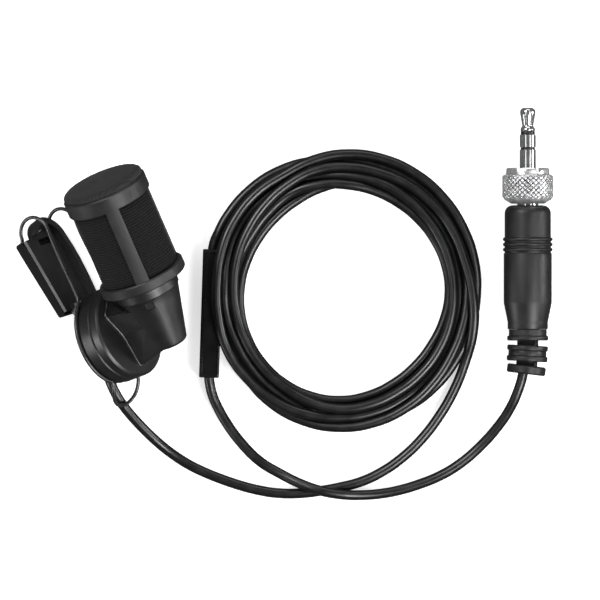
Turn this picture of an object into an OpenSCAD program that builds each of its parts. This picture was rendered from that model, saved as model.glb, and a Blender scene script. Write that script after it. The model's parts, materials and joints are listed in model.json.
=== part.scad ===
// Lavalier microphone with caged windscreen, swivel clip, coiled cable and locking 3.5 mm jack plug.
// Millimetres. +Z is up from the surface it lies on, +Y is the way the jack points.
// The origin is on that surface, under the middle of the microphone and its clip.

/* [Clip placement] */
// Swivel centre, left to right
clip_x = 2.2; // [-5:0.1:10]
// Swivel centre, front to back
clip_y = -10.9; // [-20:0.1:0]
// Height of the clip's wire ring above the surface
clip_z = 12.7; // [12.7:0.1:20]
// Roll of the clip about its own left-right line
clip_roll = -2.5; // [-6:0.5:6]
// Pitch of the clip's disc away from flat
clip_pitch = 51.5; // [45:0.5:58]
// Yaw of the clip on the surface
clip_yaw = 18; // [10:1:26]
// Swivel angle of the microphone on the clip
swivel_rest = 15.5; // [-30:0.5:30]

/* [Swivel] */
// Radius of the two swivel discs
disc_r = 10.4; // [9.5:0.1:11]
// Thickness of the clip's disc
base_disc_t = 2.95; // [2:0.05:4]
// Thickness of the microphone's disc
head_disc_t = 2.4; // [2:0.1:3]
// Running gap between the discs
disc_gap = 0.08; // [0.05:0.01:0.1]
// Radius of the hollow swivel hub
hub_r = 2.6; // [2.2:0.1:3]
// Radius of the hub's bore for the leads
hub_bore_r = 1.6; // [1.2:0.1:1.8]
// Running clearance on pins
pin_gap = 0.05; // [0.02:0.01:0.08]

/* [Spring wire] */
// Diameter of the bent spring wire
wire_d = 0.8; // [0.6:0.1:1]
// Half the distance between the wire's two arms at the tip
arm_half = 5; // [4.5:0.1:5.4]
// Radius of the loops at the wire's tip
loop_r = 3.85; // [3.4:0.05:4.2]

/* [Clip tongue and jaw] */
// Slope of the tongue away from the disc
tongue_slope = 13; // [10:0.5:15]
// Length of the tongue
tongue_len = 20.8; // [20:0.1:21.5]
// Half width of the tongue at its widest
tongue_half = 5.9; // [5.5:0.1:6.2]
// Thickness of the tongue's floor
tongue_t = 0.8; // [0.7:0.1:0.9]
// Height of the tongue's raised rim
rim_h = 1.4; // [0.6:0.1:1.6]
// Width of the tongue's raised rim
rim_w = 1.5; // [1:0.1:2]
// Half width of the jaw
jaw_half = 6; // [5.8:0.1:6.4]
// Number of gripping grooves in the jaw
groove_count = 14; // [8:1:15]

/* [Microphone head] */
// Height of the microphone's axis above the wire ring
axis_h = 14.35; // [14.2:0.05:15]
// Upward lean of the microphone's axis from the disc
axis_lift = 8; // [6:0.5:10]
// Radius of the neck under the cage
neck_r = 7; // [6.6:0.1:7.6]
// Radius of the elbow's lower end
elbow_end_r = 3.9; // [3.5:0.1:4.5]

/* [Windscreen] */
// Radius over the cage's bottom ring
cage_r = 9.6; // [9.5:0.05:9.9]
// Radius over the cage's top ring and bars
cage_top_r = 9.35; // [9.2:0.05:9.6]
// Radius of the knitted fabric inside the cage
fabric_r = 8.6; // [8.4:0.05:8.7]
// Radius of the knitted fabric's dome above the cage
dome_r = 9; // [8.6:0.05:9.2]
// Lower face of the cage's bottom ring, along the axis
cage_lo = 8.8; // [8.6:0.1:9.4]
// Height of the cage over both rings
cage_h = 23; // [20:0.1:24]
// Height of the bottom ring
ring_lo_h = 2.3; // [2:0.1:3]
// Height of the top ring
ring_hi_h = 3.3; // [2:0.1:3.5]
// Width of each of the cage's bars
bar_w = 3; // [2:0.1:4]
// Number of bars
bar_count = 3; // [3:1:5]
// Turn of the first bar about the axis
bar_turn = -144.5; // [-180:0.5:180]

/* [Jack plug] */
// Radius of the jack
jack_r = 1.75; // [1.7:0.01:1.8]
// Radius of the jack's neck, which the locking nut turns on
neck_jack_r = 2.28; // [2:0.01:2.3]
// Depth of the black insulating rings below the jack's metal
insulator_step = 0.2; // [0.16:0.01:0.3]
// Radius of the plug body's front half
plug_r = 5; // [4.5:0.1:5.2]
// Radius of the plug body's ribs and rear half
plug_grip_r = 5.2; // [5:0.1:5.5]
// Radius of the locking nut over its knurl
nut_r = 5.5; // [5.3:0.1:5.6]
// Radius of the nut's collar
collar_r = 4.7; // [4.5:0.1:5]
// Number of knurl grooves round the nut
knurl_count = 28; // [20:2:40]
// Radius of the strain relief's necks between its discs
relief_neck_r = 2.3; // [2:0.1:2.6]
// Width of the slots through the strain relief's necks
relief_slot_w = 3.2; // [2:0.1:3.4]
// Plug axis, left to right
plug_x = 92.1; // [85:0.1:100]
// Front face of the plug body, front to back
plug_y = 17.4; // [10:0.1:25]

/* [Cable] */
// Diameter of the cable
cable_d = 2.2; // [2:0.1:2.4]
// Inner radius of the coil
coil_in_r = 21; // [20:0.5:22]
// Outer radius of the coil
coil_out_r = 30.4; // [30:0.1:31]
// Height of the coil
coil_h = 6.4; // [5:0.1:7]
// Diameter of the hard sleeve on the cable
sleeve_d = 4.6; // [4.2:0.1:4.6]
// Length of the hard sleeve
sleeve_len = 27.8; // [20:0.1:30]

/* [Hidden] */
$fn = 72;
// Clearance that keeps assembled pieces of one body from sharing volume
fit = 0.02;
// Small overshoot of a cut past the face it opens
eps = 0.5;

wire_r = wire_d / 2;
cable_r = cable_d / 2;
step_r = 10.2;
step_h = 1.3;
ring_r = step_r + wire_r + fit;
ring_z = -0.55;
head_disc_z = base_disc_t + disc_gap;
head_face = head_disc_z + head_disc_t;
tongue_y0 = 9;
tongue_z0 = -4.7;
jaw_top = -tongue_t - 0.1;
groove_pitch = 1.05;
groove_inset = 0.9;
// Half width of the slots that the wire's ends drop through
slot_half = 0.55;
// How near the middle the wire's hinge pins reach
pin_in = 3.1;
pivot_y = 16.4;
pivot_z = -2.1;
gland_z = -4.5;
gland_y = -6.8;
gland_r = cable_r + 0.5;
cap_r = 4.3;
cap_z = -5.9;
cap_wall = 0.6;
// Half width of the elbow's web at the swivel's centre
web_waist = 3.15;
cage_hi = cage_lo + cage_h;
socket_r = 5.3;
capsule_r = 4.85;
capsule_lo = 13;
capsule_hi = 21;
// The fabric's domed top: its rise and the radius of its edge
crown_h = 1.8;
crown_edge = 1.5;
fabric_t = 0.7;
foam_r = fabric_r - fabric_t - 0.05;
coil_x = 52.3;
coil_y = -0.7;
coil_edge = 1.3;
sleeve_x = 23.6;
sleeve_y = -6;
sleeve_turn = -1.8;
plug_z = nut_r;
crimp_r = 2.2;
// Front ends of the jack's sleeve contact and ring contact
sleeve_hi = 12;
ring_hi = 15.2;
nut_lip_r = neck_jack_r + pin_gap;
nut_bore_r = 3.9;
knurl_w = 0.4;

// The cable from the gland behind the clip to the right side of the coil
MIC_RUN = [[1.2, -18.4, 10.1], [1.9, -20.8, 10], [3.1, -23.4, 9.5], [4.6, -25.8, 8.4], [6.6, -28.3, 6.7],
    [8.8, -30.7, 4.9], [11.9, -33.7, 2.8], [15.4, -36.5, 1.5], [19, -38.8, 1.1], [22.3, -40.4, 1.1],
    [25.5, -41.7, 1.1], [29.9, -43.2, 1.1], [34.2, -44.3, 1.1], [38.5, -44.9, 1.1], [42.9, -44.9, 1.1],
    [47.2, -44.4, 1.1], [51.5, -43.6, 1.1], [55.8, -42.5, 1.1], [60.2, -40.5, 1.1], [64.5, -37.6, 1.1],
    [68.8, -33.6, 1.1], [73.2, -27.9, 1.1], [76.2, -22.6, 1.1], [78.4, -17.1, 1.1]];
// The cable from the coil down into the hard sleeve
COIL_LEAD = [[25, 11, 2.4], [24.5, 9.9, 2.3], [24.2, 8.9, 2.3], [24, 7.8, 2.3]];
// The cable from the hard sleeve to the plug
PLUG_RUN = [[23.2, -20.1, 2.3], [23.4, -21.5, 2.1], [23.9, -23.6, 1.7], [25.3, -26.8, 1.2],
    [27.1, -29.9, 1.1], [29.9, -33.7, 1.1], [34.2, -38, 1.1], [38.5, -40.6, 1.5], [42.9, -42.8, 2.7],
    [47.2, -44.3, 3.5], [51.5, -45.1, 3.1], [55.8, -45.3, 2], [60.2, -45, 1.3], [64.5, -44.2, 1.1],
    [68.8, -42.9, 1.1], [73.2, -41.1, 1.1], [77.5, -38.5, 1.1], [81.8, -34.8, 1.5], [86.1, -29.9, 2.9],
    [88.3, -26.5, 4], [89.9, -23, 5], [91, -19.3, 5.5]];

// ---------- frames ----------

// X across the clip, Y towards its tip, Z from the clip to the microphone
module clip_frame() translate([clip_x, clip_y, clip_z]) rotate([clip_roll, clip_pitch, clip_yaw]) children();
// Y along the tongue, Z out of its floor
module tongue_frame() clip_frame() translate([0, tongue_y0, tongue_z0])
    rotate([-tongue_slope, 0, 0]) children();
module head_frame() clip_frame() rotate([0, 0, swivel_rest]) children();
// Z along the microphone's axis
module mic_frame() head_frame() translate([0, 0, axis_h]) rotate([axis_lift - 90, 0, 0]) children();
// Z towards the jack's tip
module plug_frame() translate([plug_x, plug_y, plug_z]) rotate([-90, 0, 0]) children();
// Z along the hard sleeve, from its middle
module sleeve_frame() translate([sleeve_x, sleeve_y, sleeve_d / 2]) rotate([0, 0, sleeve_turn])
    rotate([-90, 0, 0]) children();

// ---------- helpers ----------

// A tube of the given radii between two heights
module ring(r_out, r_in, z0, z1) translate([0, 0, z0]) difference() {
    cylinder(r = r_out, h = z1 - z0);
    translate([0, 0, -eps]) cylinder(r = r_in, h = z1 - z0 + 2 * eps);
}

function unit(v) = v / norm(v);
function square_to(n, t) = unit(n - (n * t) * t);
function heading(path, i) = unit(path[min(i + 1, len(path) - 1)] - path[max(i - 1, 0)]);
// Normals carried along a path without twisting
function carried(path, n0) = [for (i = 0, n = square_to(n0, heading(path, 0)); i < len(path);
    i = i + 1, n = i < len(path) ? square_to(n, heading(path, i)) : n) n];

// One solid tube along a path
module tube_along(path, r, sides, n0) {
    normals = carried(path, n0);
    rings = len(path);
    points = [for (i = [0:rings - 1], k = [0:sides - 1]) let (a = 360 * k / sides)
        path[i] + r * (cos(a) * normals[i] + sin(a) * cross(heading(path, i), normals[i]))];
    walls = [for (i = [0:rings - 2], k = [0:sides - 1])
        let (a = i * sides + k, b = i * sides + (k + 1) % sides) [a, a + sides, b + sides, b]];
    polyhedron(points, concat([[for (k = [0:sides - 1]) k]], walls,
        [[for (k = [sides - 1:-1:0]) (rings - 1) * sides + k]]));
}

// ---------- clip ----------

// The tongue's outline: its left edge runs straight over the jaw, then steps in to the round tip
module tongue_outline() polygon(concat(
    [[-tongue_half, -0.6], [4.9, -0.6], [4.9, 1], [5.5, 5], [tongue_half, 9.5], [tongue_half, 12.5]],
    [for (a = [0:10:150]) tongue_tip(a, 0)],
    [[-3.9, 17.2], [-tongue_half, 17.2]]));
// The floor inside the rim, which is open on the left
module tongue_floor() polygon(concat(
    [[-tongue_half - 1, -1.6], [4.9 - rim_w, -1.6], [4.9 - rim_w, 1], [5.5 - rim_w, 5],
        [tongue_half - rim_w, 9.5], [tongue_half - rim_w, 12.5]],
    [for (a = [0:10:150]) tongue_tip(a, rim_w)],
    [[-tongue_half - 1, tongue_tip(150, rim_w)[1]]]));
function tongue_tip(a, inset) = [0.7 + (4.95 - inset) * cos(a), tongue_len - 4.9 + (4.9 - inset) * sin(a)];

module clip_base() color([0.13, 0.13, 0.13]) difference() {
    union() {
        clip_frame() rotate_extrude() polygon([[0, -step_h], [step_r, -step_h], [step_r, 0],
            [disc_r - 0.2, 0], [disc_r, 0.2], [disc_r, base_disc_t - 0.25], [disc_r - 0.25, base_disc_t],
            [0, base_disc_t]]);
        // the root that carries the tongue under the disc
        clip_frame() translate([0, 6.6, 0]) rotate([90, 0, 90]) translate([0, 0, -4]) linear_extrude(8)
            polygon([[0, -step_h + 0.1], [0, -4.5], [1, -4.9], [2.8, -5.3], [2.8, -step_h + 0.1]]);
        tongue_frame() {
            translate([0, 0, -tongue_t]) linear_extrude(tongue_t) tongue_outline();
            translate([0, 0, -tongue_t / 2]) linear_extrude(tongue_t / 2 + rim_h) difference() {
                tongue_outline();
                tongue_floor();
            }
        }
    }
    clip_frame() translate([0, 0, -5]) cylinder(r = hub_r + pin_gap, h = 10);
    // latch slot near the tip and the small hole in the tip
    tongue_frame() {
        translate([-2.2, 15.1, -2]) cube([4.8, 1.5, 4]);
        translate([0.3, 18.5, -2]) cylinder(r = 0.55, h = 4);
    }
}

module jaw_profile() polygon([[-1, jaw_top - 0.1], [-0.8, jaw_top], [pivot_y - 0.4, jaw_top],
    [17.5, jaw_top - 0.8], [17.5, -3], [17.1, -3.3], [14, -3.25], [-0.7, -2.7], [-1, -2.4]]);

module clip_jaw() color([0.12, 0.12, 0.12]) tongue_frame() difference() {
    rotate([90, 0, 90]) translate([0, 0, -jaw_half]) linear_extrude(2 * jaw_half) jaw_profile();
    // gripping grooves across the inner face, closed at both ends
    for (i = [0:groove_count - 1]) translate([0, 0.3 + i * groove_pitch, jaw_top]) rotate([90, 0, 90])
        linear_extrude(2 * (jaw_half - groove_inset), center = true)
            polygon([[-0.3, 0.1], [0.3, 0.1], [0, -0.35]]);
    // hinge bores and the open slots that the wire's ends drop into
    for (s = [-1, 1]) {
        translate([s * 3.9, pivot_y, pivot_z]) rotate([0, 90, 0])
            cylinder(r = wire_r + pin_gap, h = 2.6, center = true);
        translate([s * arm_half - slot_half, pivot_y - 0.62, -5])
            cube([2 * slot_half, 5, 5 + pivot_z + 0.62]);
    }
}

// Part of the wire's ring, which sits in the groove round the clip's disc
function wire_arc(a0, a1, n) = [for (i = [0:n]) let (a = a0 + (a1 - a0) * i / n)
    [ring_r * cos(a), ring_r * sin(a), ring_z]];
// Middle of the loops at the wire's tip
LOOP_Y = 26.2;
LOOP_Z = -6.35;
// Where the wire's ends turn in to hinge the jaw
JAW_PIN = [0, tongue_y0 + pivot_y * cos(tongue_slope) + pivot_z * sin(tongue_slope),
    tongue_z0 - pivot_y * sin(tongue_slope) + pivot_z * cos(tongue_slope)];
// One half of the spring wire, from the loop round the cable to the jaw's hinge
HALF_WIRE = concat(
    [[0, -14.8, -3.3], [1.5, -14.6, -3.2], [2.9, -14, -2.8], [3.9, -13, -2.1], [4.3, -11.9, -1.4],
        [4.5, -10.7, -0.8]],
    wire_arc(-64, 54, 22),
    [[5.95, 9.6, -0.6], [5.6, 12, -0.9], [5.35, 16, -1.5], [5.2, 20, -2.05], [5.05, 24, -2.45]],
    [for (a = [78:-14:-90]) [arm_half, LOOP_Y + loop_r * cos(a), LOOP_Z + loop_r * sin(a)]],
    [JAW_PIN + [arm_half, 0.3, 0]]);

module spring_wire() color([0.05, 0.05, 0.05]) clip_frame() {
    left = [for (i = [len(HALF_WIRE) - 1:-1:1]) [-HALF_WIRE[i][0], HALF_WIRE[i][1], HALF_WIRE[i][2]]];
    tube_along(concat(left, HALF_WIRE), wire_r, 10, [0, 0, 1]);
    for (s = [-1, 1]) translate(JAW_PIN + [s * (arm_half + pin_in) / 2, 0, 0]) rotate([0, 90, 0])
        cylinder(r = wire_r, h = arm_half - pin_in + wire_r, center = true);
}

module base_cap() color([0.11, 0.11, 0.11]) clip_frame() difference() {
    union() {
        rotate_extrude() polygon([[0, cap_z], [cap_r - 1, cap_z], [cap_r, cap_z + 1], [cap_r, -step_h - fit],
            [0, -step_h - fit]]);
        translate([0, 0, gland_z]) rotate([90, 0, 0]) cylinder(r = cable_r + 1, h = -gland_y - 0.6);
    }
    translate([0, 0, cap_z + cap_wall]) cylinder(r = cap_r - cap_wall, h = 6);
    translate([0, 0, gland_z]) rotate([90, 0, 0]) cylinder(r = gland_r + fit, h = 10);
}

module cable_gland() color([0.07, 0.07, 0.07]) clip_frame()
    translate([0, 0, gland_z]) rotate([90, 0, 0]) difference() {
        union() {
            translate([0, 0, 3]) cylinder(r = gland_r, h = -gland_y - 3);
            translate([0, 0, -gland_y - 0.55]) cylinder(r = gland_r + 0.4, h = 0.55);
        }
        translate([0, 0, 2]) cylinder(r = 0.8, h = 3.4);
    }

module friction_washer() color([0.7, 0.7, 0.72]) clip_frame()
    ring(3.6, hub_r + 0.1, -step_h - 0.4, -step_h - fit);

module swivel_hub() color([0.78, 0.66, 0.4]) clip_frame() difference() {
    translate([0, 0, -2.9]) cylinder(r = hub_r, h = 2.9 + 7);
    translate([0, 0, -3.5]) cylinder(r = hub_bore_r, h = 12);
    ring(hub_r + 1, hub_r - 0.4, -2.3, -1.8);
}

module retaining_ring() color([0.3, 0.3, 0.32]) clip_frame() ring(3.5, hub_r - 0.38, -2.25, -1.85);

// ---------- microphone head ----------

module elbow_barrel() mic_frame() rotate_extrude() {
    polygon(concat([[0, -6.4]],
        [for (a = [-90:15:-10]) [elbow_end_r - 1 + cos(a), -5.4 + sin(a)]],
        [[neck_r - 0.3, 6], [neck_r, 6.4], [neck_r, cage_lo - 0.15], [0, cage_lo - 0.15]]));
}

module elbow_web() head_frame() intersection() {
    translate([0, 0, head_face - 0.1]) linear_extrude(12)
        polygon([[-3, -7.7], [3, -7.7], [web_waist, 0], [5, 5.7], [2, 7.8], [-2, 7.8], [-5, 5.7],
            [-web_waist, 0]]);
    rotate([90, 0, 90]) translate([0, 0, -6]) linear_extrude(12)
        polygon([[-7.7, head_face - 0.1], [-6.2, axis_h - 0.9], [5.5, axis_h + 0.7], [5.2, 11.5],
            [7.8, head_face + 0.2], [7.8, head_face - 0.1]]);
}

module elbow_body() color([0.14, 0.14, 0.14]) difference() {
    union() {
        head_frame() rotate_extrude() polygon([[0, head_disc_z], [disc_r - 0.25, head_disc_z],
            [disc_r, head_disc_z + 0.25], [disc_r, head_face - 0.5], [disc_r - 0.5, head_face],
            [0, head_face]]);
        elbow_barrel();
        elbow_web();
    }
    head_frame() {
        translate([0, 0, 2]) cylinder(r = hub_r + fit, h = 5.02);
        translate([0, 0, 2]) cylinder(r = 1.4, h = axis_h - 2);
    }
    mic_frame() {
        translate([0, 0, 2.4]) cylinder(r = socket_r, h = 8);
        translate([0, 0, -1.7]) cylinder(r = 1.7, h = 5);
        // snap windows in the neck, one each side
        for (s = [-1, 1]) rotate([0, 0, -90 + s * 60]) translate([5.9, -0.9, 4]) cube([3, 1.8, 1.7]);
    }
}

LEAD_PATH = [[0, 0, -3.4], [0, 0, 0], [0, 0, 5], [0, 0, 10], [0, 0.1, 12.2], [0, 0.7, 13.6], [0, 1.9, 14.4],
    [0, 4, axis_h + 4 * tan(axis_lift)], [0, 10.5, axis_h + 10.5 * tan(axis_lift)]];
module lead_wires() color([0.75, 0.2, 0.15]) head_frame() tube_along(LEAD_PATH, 0.5, 8, [1, 0, 0]);

module capsule_holder() color([0.1, 0.1, 0.1]) mic_frame() difference() {
    union() {
        translate([0, 0, 2.5]) cylinder(r = socket_r - fit, h = cage_lo - 2.5);
        translate([0, 0, cage_lo - 0.1]) cylinder(r = cage_r - 0.98, h = 1.3);
        translate([0, 0, cage_lo + 1]) cylinder(r = 5.9, h = capsule_lo - cage_lo + 2);
    }
    translate([0, 0, capsule_lo - 2]) cylinder(r = capsule_r + fit, h = 10);
    translate([0, 0, 2]) cylinder(r = 3.6, h = 12);
    for (a = [0:60:300]) rotate([0, 0, a]) translate([3, -0.7, capsule_lo - 1.6]) cube([5, 1.4, 1.4]);
}

module capsule_can() color([0.62, 0.62, 0.64]) mic_frame() difference() {
    translate([0, 0, capsule_lo - 2]) cylinder(r = capsule_r, h = capsule_hi - capsule_lo + 2);
    translate([0, 0, capsule_lo - 2.5]) cylinder(r = capsule_r - 0.35, h = capsule_hi - capsule_lo + 2.1);
    translate([0, 0, capsule_hi - 1]) cylinder(r = 3.9, h = 2);
}

module capsule_grille() color([0.4, 0.4, 0.42]) mic_frame() difference() {
    translate([0, 0, capsule_hi - 0.8]) cylinder(r = 3.9 - fit, h = 0.5);
    for (ring_i = [1:2], a = [0:60 / ring_i:359]) rotate([0, 0, a])
        translate([1.5 * ring_i, 0, capsule_hi - 1.2]) cylinder(r = 0.35, h = 1.4, $fn = 16);
}

module diaphragm() color([0.85, 0.75, 0.4]) mic_frame() difference() {
    translate([0, 0, capsule_hi - 1.5]) cylinder(r = 4.4, h = 0.5);
    translate([0, 0, capsule_hi - 1.45]) cylinder(r = 3.7, h = 1);
}

module backplate() color([0.75, 0.72, 0.6]) mic_frame() difference() {
    translate([0, 0, capsule_hi - 2.4]) cylinder(r = 3.9, h = 0.8);
    for (a = [0:90:270]) rotate([0, 0, a]) translate([2, 0, capsule_hi - 3])
        cylinder(r = 0.4, h = 2, $fn = 16);
}

module capsule_insulator() color([0.9, 0.9, 0.86]) mic_frame()
    ring(4.4, 3.92, capsule_hi - 4.4, capsule_hi - 1.55);

module preamp_board() color([0.1, 0.35, 0.2]) mic_frame() union() {
    translate([0, 0, capsule_lo - 1.4]) cylinder(r = 4.4, h = 0.8);
    translate([-1.1, -0.8, capsule_lo - 0.65]) cube([2.2, 1.6, 1]);
    translate([1.6, -0.5, capsule_lo - 0.65]) cube([1.2, 1, 0.6]);
}

// ---------- windscreen ----------

module windscreen_cage() color([0.15, 0.15, 0.15]) mic_frame() difference() {
    translate([0, 0, cage_lo]) rotate_extrude() polygon([[cage_r - 0.9, 0], [cage_r - 0.25, 0],
        [cage_r, 0.25], [cage_r, ring_lo_h - 0.25], [cage_r - 0.2, ring_lo_h], [cage_top_r - 0.05, ring_lo_h],
        [cage_top_r - 0.05, cage_h - ring_hi_h], [cage_top_r, cage_h - ring_hi_h + 0.1],
        [cage_top_r, cage_h - 0.3], [cage_top_r - 0.3, cage_h], [fabric_r + 0.05, cage_h],
        [fabric_r + 0.05, 1.55], [cage_r - 0.9, 1.55]]);
    for (i = [0:bar_count - 1]) rotate([0, 0, bar_turn + (i + 0.5) * 360 / bar_count])
        translate([0, 0, cage_lo + ring_lo_h + 0.05]) linear_extrude(cage_h - ring_lo_h - ring_hi_h - 0.1)
            cage_window();
}
// The opening between two bars, whose sides run along the bars
module cage_window() {
    half = 180 / bar_count;
    translate([bar_w / 2 / sin(half), 0]) polygon([[0, 0], [20 * cos(half), -20 * sin(half)], [30, 0],
        [20 * cos(half), 20 * sin(half)]]);
}

// Outline of a domed cup: outer radius, straight height and crown, drawn from the axis
function dome(r, z, crown, edge) = concat([[0, z + crown]],
    [for (x = [0.2:0.2:0.81]) [x * (r - edge), z + crown - 0.6 * pow(x, 2)]],
    [for (a = [80:-20:0]) [r - edge + edge * cos(a), z + (crown - 0.6) * sin(a)]]);

module windscreen_fabric() color([0.09, 0.09, 0.1]) mic_frame() rotate_extrude() difference() {
    polygon(concat(dome(dome_r, cage_hi + 0.1, crown_h, crown_edge), [[dome_r, cage_hi + fit],
        [fabric_r, cage_hi + fit], [fabric_r, cage_lo + 1.6], [0, cage_lo + 1.6]]));
    polygon(concat(dome(fabric_r - fabric_t, cage_hi - 0.6, crown_h, crown_edge),
        [[fabric_r - fabric_t, 0], [0, 0]]));
}

module foam_liner() color([0.2, 0.2, 0.21]) mic_frame() rotate_extrude() difference() {
    polygon(concat(dome(foam_r, cage_hi - 0.7, crown_h, crown_edge), [[foam_r, cage_lo + 1.9],
        [0, cage_lo + 1.9]]));
    polygon([[0, 0], [6.1, 0], [6.1, capsule_hi + 1.5], [4.5, capsule_hi + 3], [0, capsule_hi + 3]]);
}

// ---------- cable ----------

module cable_mic_run() color([0.08, 0.08, 0.08]) tube_along(MIC_RUN, cable_r, 8, [0, 0, 1]);
module cable_coil_lead() color([0.08, 0.08, 0.08]) tube_along(COIL_LEAD, cable_r, 8, [0, 0, 1]);
module cable_plug_run() color([0.08, 0.08, 0.08]) tube_along(PLUG_RUN, cable_r, 8, [0, 0, 1]);

module cable_coil() color([0.08, 0.08, 0.08]) difference() {
    translate([coil_x, coil_y, 0]) rotate_extrude() polygon([[coil_in_r, 0], [coil_out_r, 0],
        [coil_out_r, coil_h - coil_edge], [coil_out_r - coil_edge, coil_h], [coil_in_r + coil_edge, coil_h],
        [coil_in_r, coil_h - coil_edge]]);
    // room for the hard sleeve, which lies under the outer strands
    translate([sleeve_x, sleeve_y, -1]) rotate([0, 0, sleeve_turn])
        translate([-3, -sleeve_len / 2 - 0.4, 0]) cube([5.7, sleeve_len + 3.2, 1 + sleeve_d + 0.2]);
}

module cable_sleeve() color([0.1, 0.1, 0.1]) sleeve_frame() difference() {
    translate([0, 0, -sleeve_len / 2]) rotate_extrude() polygon([[0, 0], [sleeve_d / 2 - 0.4, 0],
        [sleeve_d / 2, 0.4], [sleeve_d / 2, sleeve_len - 0.4], [sleeve_d / 2 - 0.4, sleeve_len],
        [0, sleeve_len]]);
    // flat panel along the top
    translate([-3, -3.95, -sleeve_len / 2 + 1.5]) cube([6, 1.85, sleeve_len - 3]);
}

// ---------- plug ----------

function bump(z0, z1, r, edge) = [[r - edge, z1], [r, z1 - edge], [r, z0 + edge], [r - edge, z0]];

module plug_body() color([0.16, 0.16, 0.165]) plug_frame() rotate_extrude() polygon(concat(
    [[2.35, -1.2], [2.35, 0]],
    [for (a = [90:-15:0]) [plug_r - 1.7 + 1.7 * cos(a), -1.7 + 1.7 * sin(a)]],
    [[plug_r, -6.7]],
    [for (i = [0:2], p = bump(-7.8 - 1.12 * i, -6.9 - 1.12 * i, plug_grip_r, 0.15)) p],
    [[plug_grip_r - 0.25, -10.2], [plug_grip_r, -10.35], [plug_grip_r, -21.1], [4.36, -25], [4.36, -26.8],
        [2.4, -26.8], [2.4, -24.5], [4, -22], [4, -1.2]]));

module relief_disc(r, z0, z1, edge) translate([0, 0, z0]) rotate_extrude()
    polygon(concat([[0, z1 - z0]], bump(0, z1 - z0, r, edge), [[0, 0]]));

module strain_relief() color([0.16, 0.16, 0.165]) plug_frame() difference() {
    union() {
        translate([0, 0, -26.9]) cylinder(r = 2.38, h = 3);
        relief_disc(4.1, -28.3, -26.82, 0.1);
        relief_disc(4.45, -29.25, -28.2, 0.2);
        translate([0, 0, -30.6]) cylinder(r = relief_neck_r, h = 2);
        relief_middle() {
            relief_disc(4.4, -1.15, 0, 0.2);
            relief_disc(4.1, -2.3, -1.1, 0.1);
            relief_disc(4.4, -3.45, -2.25, 0.2);
            translate([0, 0, -4.6]) cylinder(r = relief_neck_r, h = 2);
        }
        translate([-0.2, 0, -34.6]) rotate([0, 7, 0]) relief_disc(4.2, -1.9, 0, 0.3);
    }
    translate([0, 0, -30]) cylinder(r = cable_r + fit, h = 8);
    // slots above and below the cable through both necks, so that the relief bends
    relief_slots(-30.3, 1.05);
    relief_middle() relief_slots(-4.45, 0.95);
}
// The relief's middle discs, which lean a little towards the cable's bend
module relief_middle() translate([0, 0, -30.3]) rotate([0, 3, 0]) children();
module relief_slots(z, h) for (s = [-1, 1])
    translate([-relief_slot_w / 2, s * 2.2 - 0.9, z]) cube([relief_slot_w, 1.8, h]);

module shield_can() color([0.7, 0.68, 0.6]) plug_frame() ring(3.9, 3.5, -20, -1.6);

module cable_crimp() color([0.72, 0.7, 0.62]) plug_frame() ring(crimp_r, cable_r + fit, -23.6, -18.5);

// Three insulated leads that spread from the cable's end to the solder tails
function lead_spread(z) = 0.45 + 1.3 * sqrt((z + 18.4) / 9);
module plug_leads() color([0.8, 0.25, 0.15]) plug_frame() for (a = [30, 150, 270])
    tube_along([for (z = [-9.4, -11, -13, -15, -17, -18.4]) let (r = lead_spread(z))
        [r * cos(a), r * sin(a), z]], 0.3, 8, [1, 0, 0]);

module jack_sleeve() color([0.86, 0.86, 0.88]) plug_frame() rotate_extrude() polygon([
    [1.35, -4], [neck_jack_r, -4], [neck_jack_r, 2.1], [3.3, 2.1], [3.3, 3], [2.4, 3.3], [jack_r, 3.6],
    [jack_r, sleeve_hi], [1.35, sleeve_hi]]);

module rear_insulator() color([0.04, 0.04, 0.04]) plug_frame() rotate_extrude() polygon([
    [1, -5.2], [1.33, -5.2], [1.33, sleeve_hi + fit], [jack_r - insulator_step, sleeve_hi + fit],
    [jack_r - insulator_step, 12.6], [1, 12.6]]);

module jack_ring() color([0.86, 0.86, 0.88]) plug_frame() rotate_extrude() polygon([
    [0.72, -6.4], [0.98, -6.4], [0.98, 12.62], [jack_r, 12.62], [jack_r, ring_hi], [0.72, ring_hi]]);

module front_insulator() color([0.04, 0.04, 0.04]) plug_frame() rotate_extrude() polygon([
    [0.47, -7.4], [0.7, -7.4], [0.7, ring_hi + fit], [jack_r - insulator_step, ring_hi + fit],
    [jack_r - insulator_step, 16], [0.47, 16]]);

module jack_tip() color([0.86, 0.86, 0.88]) plug_frame() rotate_extrude() polygon(concat(
    [[0, -8.8], [0.45, -8.8], [0.45, 16.02], [1.5, 16.02], [1.62, 16.3], [1.5, 16.75], [1.2, 17.1],
        [1.28, 17.6], [1.7, 20.1]],
    [for (a = [10:20:90]) [0.75 + 0.95 * cos(a), 20.2 + 0.9 * sin(a)]], [[0, 21.1]]));

module locking_nut() color([0.84, 0.84, 0.86]) plug_frame() difference() {
    rotate_extrude() polygon([[nut_lip_r, 0.35], [3.6, 0.35], [nut_r - 0.35, 1.25], [nut_r, 1.6],
        [nut_r, 6.4], [nut_r - 0.2, 6.6], [collar_r, 6.7], [collar_r, 7.8], [collar_r - 0.3, 8.1],
        [nut_bore_r, 8.1], [nut_bore_r, 2.05], [nut_lip_r, 2.05]]);
    for (i = [0:knurl_count - 1]) rotate([0, 0, i * 360 / knurl_count]) translate([nut_r, 0, 1.9])
        rotate([0, 0, 45]) translate([-knurl_w / 2, -knurl_w / 2, 0]) cube([knurl_w, knurl_w, 4.4]);
    // notches across the collar's face
    for (a = [0:60:120]) rotate([0, 0, a]) translate([-collar_r - eps, -0.6, 7.2])
        cube([2 * collar_r + 2 * eps, 1.2, 2]);
}

// ---------- assembly ----------

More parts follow.
